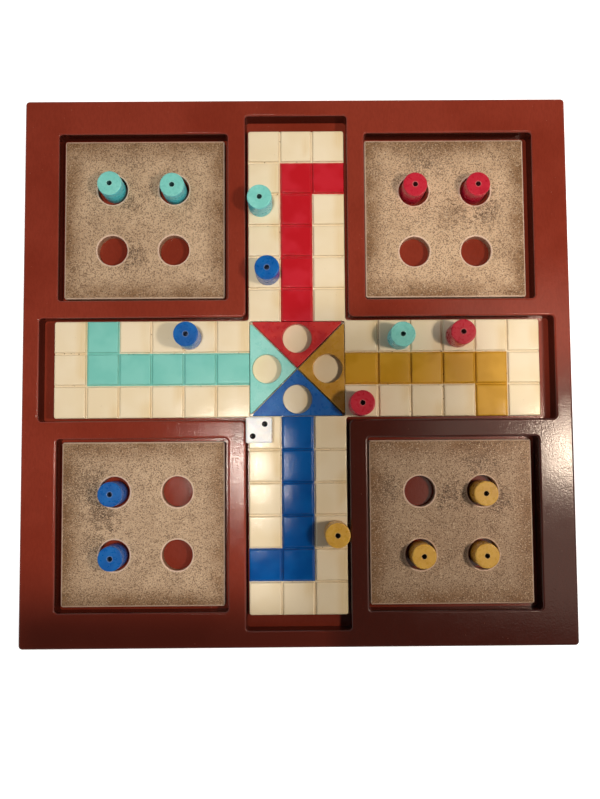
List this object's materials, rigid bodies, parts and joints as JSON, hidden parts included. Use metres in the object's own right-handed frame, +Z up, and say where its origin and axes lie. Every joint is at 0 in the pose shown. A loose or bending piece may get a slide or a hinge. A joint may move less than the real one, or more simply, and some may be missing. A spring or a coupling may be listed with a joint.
{
  "type": "ludo board",
  "caption": "Square lacquered ludo board with a cross-shaped track of raised cells, lift-out home plates, goal triangles, loose round pawns and a die. It lies flat on a table.",
  "frame": {"origin": "on the table, under the middle of the tray", "axes": "+Z up out of the playing side, +X to the board's right and +Y to its back edge as it is looked down on with the red goal farthest away"},
  "size_m": [0.35, 0.35, 0.0335],
  "materials": {
    "lacquered_wood": "glossy reddish-brown lacquer",
    "cream_paint": "satin cream paint",
    "bronze_speckle": "satin bronze paint with dark speckle",
    "goal_red_paint": "satin paint",
    "goal_gold_paint": "satin paint",
    "goal_blue_paint": "satin paint",
    "goal_teal_paint": "satin paint",
    "pawn_teal_paint": "satin paint",
    "pawn_red_paint": "satin paint",
    "pawn_blue_paint": "satin paint",
    "pawn_gold_paint": "satin paint",
    "die_white": "glossy white with black pips"
  },
  "bodies": {
    "board": {"tray": "lacquered_wood", "track_cross": "cream_paint", "goal_red": "goal_red_paint", "goal_gold": "goal_gold_paint", "goal_blue": "goal_blue_paint", "goal_teal": "goal_teal_paint"},
    "plate_back_left": {"plate_back_left": "bronze_speckle"},
    "plate_back_right": {"plate_back_right": "bronze_speckle"},
    "plate_front_left": {"plate_front_left": "bronze_speckle"},
    "plate_front_right": {"plate_front_right": "bronze_speckle"},
    "pawn_teal_1": {"pawn_teal_1": "pawn_teal_paint"},
    "pawn_teal_2": {"pawn_teal_2": "pawn_teal_paint"},
    "pawn_teal_3": {"pawn_teal_3": "pawn_teal_paint"},
    "pawn_teal_4": {"pawn_teal_4": "pawn_teal_paint"},
    "pawn_red_1": {"pawn_red_1": "pawn_red_paint"},
    "pawn_red_2": {"pawn_red_2": "pawn_red_paint"},
    "pawn_red_3": {"pawn_red_3": "pawn_red_paint"},
    "pawn_red_4": {"pawn_red_4": "pawn_red_paint"},
    "pawn_blue_1": {"pawn_blue_1": "pawn_blue_paint"},
    "pawn_blue_2": {"pawn_blue_2": "pawn_blue_paint"},
    "pawn_blue_3": {"pawn_blue_3": "pawn_blue_paint"},
    "pawn_blue_4": {"pawn_blue_4": "pawn_blue_paint"},
    "pawn_gold_1": {"pawn_gold_1": "pawn_gold_paint"},
    "pawn_gold_2": {"pawn_gold_2": "pawn_gold_paint"},
    "pawn_gold_3": {"pawn_gold_3": "pawn_gold_paint"},
    "pawn_gold_4": {"pawn_gold_4": "pawn_gold_paint"},
    "die": {"die": "die_white"}
  },
  "joints": [
    {"name": "plate_back_left_lift", "type": "slide", "parent": "board", "child": "plate_back_left", "axis": [0, 0, 1], "range_m": [0, 0.04]},
    {"name": "plate_back_right_lift", "type": "slide", "parent": "board", "child": "plate_back_right", "axis": [0, 0, 1], "range_m": [0, 0.04]},
    {"name": "plate_front_left_lift", "type": "slide", "parent": "board", "child": "plate_front_left", "axis": [0, 0, 1], "range_m": [0, 0.04]},
    {"name": "plate_front_right_lift", "type": "slide", "parent": "board", "child": "plate_front_right", "axis": [0, 0, 1], "range_m": [0, 0.04]},
    {"name": "pawn_teal_1_lift", "type": "slide", "parent": "board", "child": "pawn_teal_1", "axis": [0, 0, 1], "range_m": [0, 0.04]},
    {"name": "pawn_teal_2_lift", "type": "slide", "parent": "board", "child": "pawn_teal_2", "axis": [0, 0, 1], "range_m": [0, 0.04]},
    {"name": "pawn_teal_3_lift", "type": "slide", "parent": "board", "child": "pawn_teal_3", "axis": [0, 0, 1], "range_m": [0, 0.04]},
    {"name": "pawn_teal_4_lift", "type": "slide", "parent": "board", "child": "pawn_teal_4", "axis": [0, 0, 1], "range_m": [0, 0.04]},
    {"name": "pawn_red_1_lift", "type": "slide", "parent": "board", "child": "pawn_red_1", "axis": [0, 0, 1], "range_m": [0, 0.04]},
    {"name": "pawn_red_2_lift", "type": "slide", "parent": "board", "child": "pawn_red_2", "axis": [0, 0, 1], "range_m": [0, 0.04]},
    {"name": "pawn_red_3_lift", "type": "slide", "parent": "board", "child": "pawn_red_3", "axis": [0, 0, 1], "range_m": [0, 0.04]},
    {"name": "pawn_red_4_lift", "type": "slide", "parent": "board", "child": "pawn_red_4", "axis": [0, 0, 1], "range_m": [0, 0.04]},
    {"name": "pawn_blue_1_lift", "type": "slide", "parent": "board", "child": "pawn_blue_1", "axis": [0, 0, 1], "range_m": [0, 0.04]},
    {"name": "pawn_blue_2_lift", "type": "slide", "parent": "board", "child": "pawn_blue_2", "axis": [0, 0, 1], "range_m": [0, 0.04]},
    {"name": "pawn_blue_3_lift", "type": "slide", "parent": "board", "child": "pawn_blue_3", "axis": [0, 0, 1], "range_m": [0, 0.04]},
    {"name": "pawn_blue_4_lift", "type": "slide", "parent": "board", "child": "pawn_blue_4", "axis": [0, 0, 1], "range_m": [0, 0.04]},
    {"name": "pawn_gold_1_lift", "type": "slide", "parent": "board", "child": "pawn_gold_1", "axis": [0, 0, 1], "range_m": [0, 0.04]},
    {"name": "pawn_gold_2_lift", "type": "slide", "parent": "board", "child": "pawn_gold_2", "axis": [0, 0, 1], "range_m": [0, 0.04]},
    {"name": "pawn_gold_3_lift", "type": "slide", "parent": "board", "child": "pawn_gold_3", "axis": [0, 0, 1], "range_m": [0, 0.04]},
    {"name": "pawn_gold_4_lift", "type": "slide", "parent": "board", "child": "pawn_gold_4", "axis": [0, 0, 1], "range_m": [0, 0.04]},
    {"name": "die_lift", "type": "slide", "parent": "board", "child": "die", "axis": [0, 0, 1], "range_m": [0, 0.04]}
  ]
}
